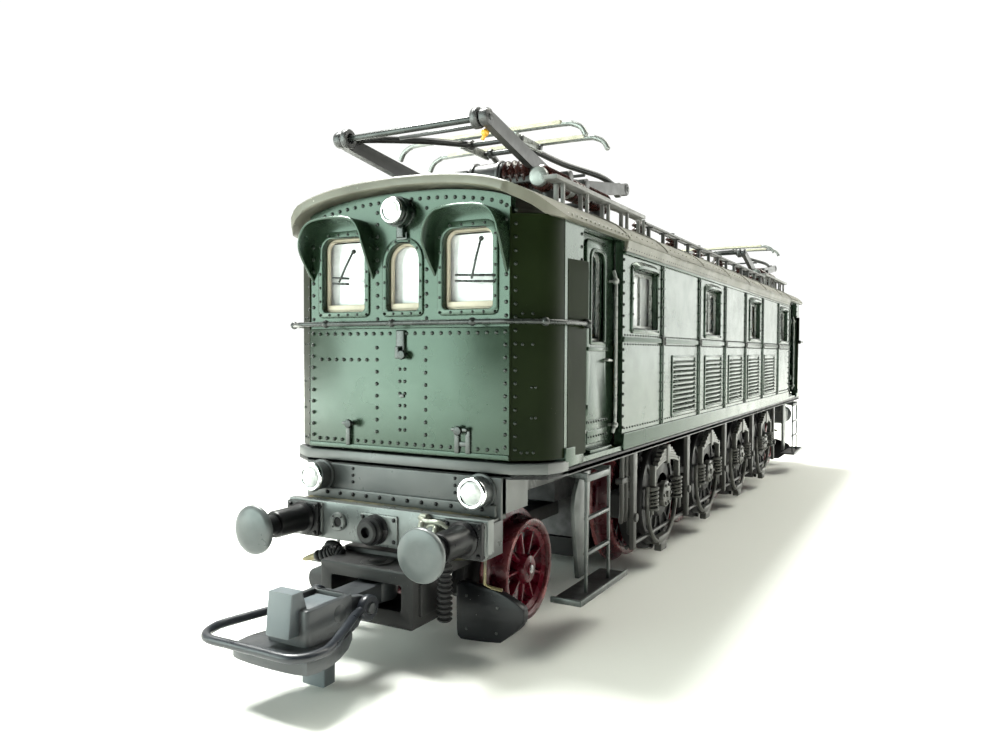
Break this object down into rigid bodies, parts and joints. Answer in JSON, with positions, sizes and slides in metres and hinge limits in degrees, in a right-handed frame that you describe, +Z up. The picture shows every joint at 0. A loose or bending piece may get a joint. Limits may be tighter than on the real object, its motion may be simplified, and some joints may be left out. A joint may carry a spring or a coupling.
{
  "type": "model electric locomotive",
  "caption": "H0-scale model of a long electric locomotive with a green riveted body, spoked wheels, working gear train, swinging leading trucks, hook-and-loop couplers and folding pantographs.",
  "frame": {"origin": "centre of the model in plan, at the lowest points of the wheel flanges", "axes": "+X to the side with the round drive covers, -Y towards the front end (the end shown), +Z up"},
  "size_m": [0.036, 0.2078, 0.0581],
  "materials": {
    "painted_body": "satin dark green paint",
    "roof": "matt light grey paint",
    "clear": "clear plastic",
    "cab": "matt beige",
    "cast": "cast weight metal",
    "frame_grey": "dark blue-grey plastic",
    "black": "black plastic",
    "board": "green board",
    "steel": "steel",
    "brass": "brass",
    "gear_plastic": "cream gear plastic",
    "wheel_red": "crimson wheels",
    "coupler_grey": "dark grey plastic",
    "arm_metal": "dark grey metal",
    "strip": "cream metal strip"
  },
  "bodies": {
    "chassis": {"chassis_block": "cast", "underframe": "frame_grey", "body_shell": "painted_body", "roof_shell": "roof", "window_glazing": "clear", "cab_interior_front": "cab", "cab_interior_rear": "cab", "gearbox_cover": "black", "circuit_board": "board", "motor_housing": "steel", "drive_casing_right": "black", "side_frame_left": "black", "light_guide_front": "clear", "pantograph_base_front": "arm_metal", "buffer_front_left": "frame_grey", "cab_step_front_left": "black", "buffer_front_right": "frame_grey", "cab_step_front_right": "black", "light_guide_rear": "clear", "pantograph_base_rear": "arm_metal", "buffer_rear_left": "frame_grey", "cab_step_rear_left": "black", "buffer_rear_right": "frame_grey", "cab_step_rear_right": "black"},
    "motor_rotor": {"motor_shaft": "steel", "flywheel_front": "brass", "flywheel_rear": "brass", "worm_front": "brass", "worm_rear": "brass"},
    "worm_gear_body_front": {"worm_gear_front": "gear_plastic"},
    "worm_gear_body_rear": {"worm_gear_rear": "gear_plastic"},
    "driving_axle_1": {"driving_wheelset_1": "wheel_red", "axle_gear_1": "gear_plastic"},
    "driving_axle_2": {"driving_wheelset_2": "wheel_red", "axle_gear_2": "gear_plastic"},
    "driving_axle_3": {"driving_wheelset_3": "wheel_red", "axle_gear_3": "gear_plastic"},
    "driving_axle_4": {"driving_wheelset_4": "wheel_red", "axle_gear_4": "gear_plastic"},
    "pony_front": {"pony_truck_front": "black"},
    "leading_axle_front": {"leading_wheelset_front": "wheel_red"},
    "coupler_head_front": {"coupler_shank_front": "coupler_grey"},
    "bow_front": {"coupler_bow_front": "coupler_grey"},
    "hook_front": {"coupler_hook_front": "coupler_grey"},
    "panto_lower_front_front": {"pantograph_lower_front_front": "arm_metal"},
    "panto_upper_front_front": {"pantograph_upper_front_front": "arm_metal"},
    "panto_lower_rear_front": {"pantograph_lower_rear_front": "arm_metal"},
    "panto_upper_rear_front": {"pantograph_upper_rear_front": "arm_metal"},
    "panto_head_front": {"pantograph_head_front": "strip"},
    "pony_rear": {"pony_truck_rear": "black"},
    "leading_axle_rear": {"leading_wheelset_rear": "wheel_red"},
    "coupler_head_rear": {"coupler_shank_rear": "coupler_grey"},
    "bow_rear": {"coupler_bow_rear": "coupler_grey"},
    "hook_rear": {"coupler_hook_rear": "coupler_grey"},
    "panto_lower_front_rear": {"pantograph_lower_front_rear": "arm_metal"},
    "panto_upper_front_rear": {"pantograph_upper_front_rear": "arm_metal"},
    "panto_lower_rear_rear": {"pantograph_lower_rear_rear": "arm_metal"},
    "panto_upper_rear_rear": {"pantograph_upper_rear_rear": "arm_metal"},
    "panto_head_rear": {"pantograph_head_rear": "strip"}
  },
  "joints": [
    {"name": "motor_spin", "type": "hinge", "parent": "chassis", "child": "motor_rotor", "pos_m": [0, 0, 0.02656], "axis": [0, 1, 0], "continuous": true},
    {"name": "worm_gear_spin_front", "type": "hinge", "parent": "chassis", "child": "worm_gear_body_front", "pos_m": [0, -0.0253, 0.01666], "axis": [1, 0, 0], "continuous": true},
    {"name": "worm_gear_spin_rear", "type": "hinge", "parent": "chassis", "child": "worm_gear_body_rear", "pos_m": [0, 0.0253, 0.01666], "axis": [1, 0, 0], "continuous": true},
    {"name": "driving_axle_spin_1", "type": "hinge", "parent": "chassis", "child": "driving_axle_1", "pos_m": [0, -0.03795, 0.01043], "axis": [1, 0, 0], "continuous": true},
    {"name": "driving_axle_spin_2", "type": "hinge", "parent": "chassis", "child": "driving_axle_2", "pos_m": [0, -0.01265, 0.01043], "axis": [1, 0, 0], "continuous": true},
    {"name": "driving_axle_spin_3", "type": "hinge", "parent": "chassis", "child": "driving_axle_3", "pos_m": [0, 0.01265, 0.01043], "axis": [1, 0, 0], "continuous": true},
    {"name": "driving_axle_spin_4", "type": "hinge", "parent": "chassis", "child": "driving_axle_4", "pos_m": [0, 0.03795, 0.01043], "axis": [1, 0, 0], "continuous": true},
    {"name": "pony_swing_front", "type": "hinge", "parent": "chassis", "child": "pony_front", "pos_m": [0, -0.05, 0.012], "axis": [0, 0, 1], "range_deg": [-6, 6]},
    {"name": "leading_axle_spin_front", "type": "hinge", "parent": "pony_front", "child": "leading_axle_front", "pos_m": [0, -0.0715, 0.00675], "axis": [1, 0, 0], "continuous": true},
    {"name": "coupler_swing_front", "type": "hinge", "parent": "pony_front", "child": "coupler_head_front", "pos_m": [0, -0.086, 0.007], "axis": [0, 0, 1], "range_deg": [-15, 15]},
    {"name": "coupler_bow_lift_front", "type": "hinge", "parent": "coupler_head_front", "child": "bow_front", "pos_m": [0, -0.0915, 0.007], "axis": [-1, 0, 0], "range_deg": [0, 25]},
    {"name": "coupler_hook_lift_front", "type": "hinge", "parent": "coupler_head_front", "child": "hook_front", "pos_m": [0, -0.0946, 0.0072], "axis": [-1, 0, 0], "range_deg": [0, 8]},
    {"name": "panto_front_lower_front", "type": "hinge", "parent": "chassis", "child": "panto_lower_front_front", "pos_m": [0, -0.063, 0.0516], "axis": [-1, 0, 0], "range_deg": [0, 42]},
    {"name": "panto_front_upper_front", "type": "hinge", "parent": "panto_lower_front_front", "child": "panto_upper_front_front", "pos_m": [0, -0.0805, 0.0543], "axis": [-1, 0, 0], "range_deg": [-84, 0]},
    {"name": "panto_front_lower_rear", "type": "hinge", "parent": "chassis", "child": "panto_lower_rear_front", "pos_m": [0, -0.058, 0.0516], "axis": [-1, 0, 0], "range_deg": [-42, 0]},
    {"name": "panto_front_upper_rear", "type": "hinge", "parent": "panto_lower_rear_front", "child": "panto_upper_rear_front", "pos_m": [0, -0.0405, 0.0543], "axis": [-1, 0, 0], "range_deg": [0, 84]},
    {"name": "panto_front_head", "type": "hinge", "parent": "panto_upper_front_front", "child": "panto_head_front", "pos_m": [0, -0.063, 0.057], "axis": [-1, 0, 0], "range_deg": [0, 42]},
    {"name": "pony_swing_rear", "type": "hinge", "parent": "chassis", "child": "pony_rear", "pos_m": [0, 0.05, 0.012], "axis": [0, 0, 1], "range_deg": [-6, 6]},
    {"name": "leading_axle_spin_rear", "type": "hinge", "parent": "pony_rear", "child": "leading_axle_rear", "pos_m": [0, 0.0715, 0.00675], "axis": [1, 0, 0], "continuous": true},
    {"name": "coupler_swing_rear", "type": "hinge", "parent": "pony_rear", "child": "coupler_head_rear", "pos_m": [0, 0.086, 0.007], "axis": [0, 0, 1], "range_deg": [-15, 15]},
    {"name": "coupler_bow_lift_rear", "type": "hinge", "parent": "coupler_head_rear", "child": "bow_rear", "pos_m": [0, 0.0915, 0.007], "axis": [1, 0, 0], "range_deg": [0, 25]},
    {"name": "coupler_hook_lift_rear", "type": "hinge", "parent": "coupler_head_rear", "child": "hook_rear", "pos_m": [0, 0.0946, 0.0072], "axis": [1, 0, 0], "range_deg": [0, 8]},
    {"name": "panto_rear_lower_front", "type": "hinge", "parent": "chassis", "child": "panto_lower_front_rear", "pos_m": [0, 0.063, 0.0516], "axis": [1, 0, 0], "range_deg": [0, 42]},
    {"name": "panto_rear_upper_front", "type": "hinge", "parent": "panto_lower_front_rear", "child": "panto_upper_front_rear", "pos_m": [0, 0.0805, 0.0543], "axis": [1, 0, 0], "range_deg": [-84, 0]},
    {"name": "panto_rear_lower_rear", "type": "hinge", "parent": "chassis", "child": "panto_lower_rear_rear", "pos_m": [0, 0.058, 0.0516], "axis": [1, 0, 0], "range_deg": [-42, 0]},
    {"name": "panto_rear_upper_rear", "type": "hinge", "parent": "panto_lower_rear_rear", "child": "panto_upper_rear_rear", "pos_m": [0, 0.0405, 0.0543], "axis": [1, 0, 0], "range_deg": [0, 84]},
    {"name": "panto_rear_head", "type": "hinge", "parent": "panto_upper_front_rear", "child": "panto_head_rear", "pos_m": [0, 0.063, 0.057], "axis": [1, 0, 0], "range_deg": [0, 42]}
  ],
  "couplings": [
    {"joint": "worm_gear_spin_front", "follows": "motor_spin", "ratio": 0.043478},
    {"joint": "worm_gear_spin_rear", "follows": "motor_spin", "ratio": 0.043478},
    {"joint": "driving_axle_spin_1", "follows": "motor_spin", "ratio": -0.041667},
    {"joint": "driving_axle_spin_2", "follows": "motor_spin", "ratio": -0.041667},
    {"joint": "driving_axle_spin_3", "follows": "motor_spin", "ratio": -0.041667},
    {"joint": "driving_axle_spin_4", "follows": "motor_spin", "ratio": -0.041667},
    {"joint": "panto_front_upper_front", "follows": "panto_front_lower_front", "ratio": -2},
    {"joint": "panto_front_lower_rear", "follows": "panto_front_lower_front", "ratio": -1},
    {"joint": "panto_front_upper_rear", "follows": "panto_front_lower_front", "ratio": 2},
    {"joint": "panto_front_head", "follows": "panto_front_lower_front", "ratio": 1},
    {"joint": "panto_rear_upper_front", "follows": "panto_rear_lower_front", "ratio": -2},
    {"joint": "panto_rear_lower_rear", "follows": "panto_rear_lower_front", "ratio": -1},
    {"joint": "panto_rear_upper_rear", "follows": "panto_rear_lower_front", "ratio": 2},
    {"joint": "panto_rear_head", "follows": "panto_rear_lower_front", "ratio": 1}
  ]
}
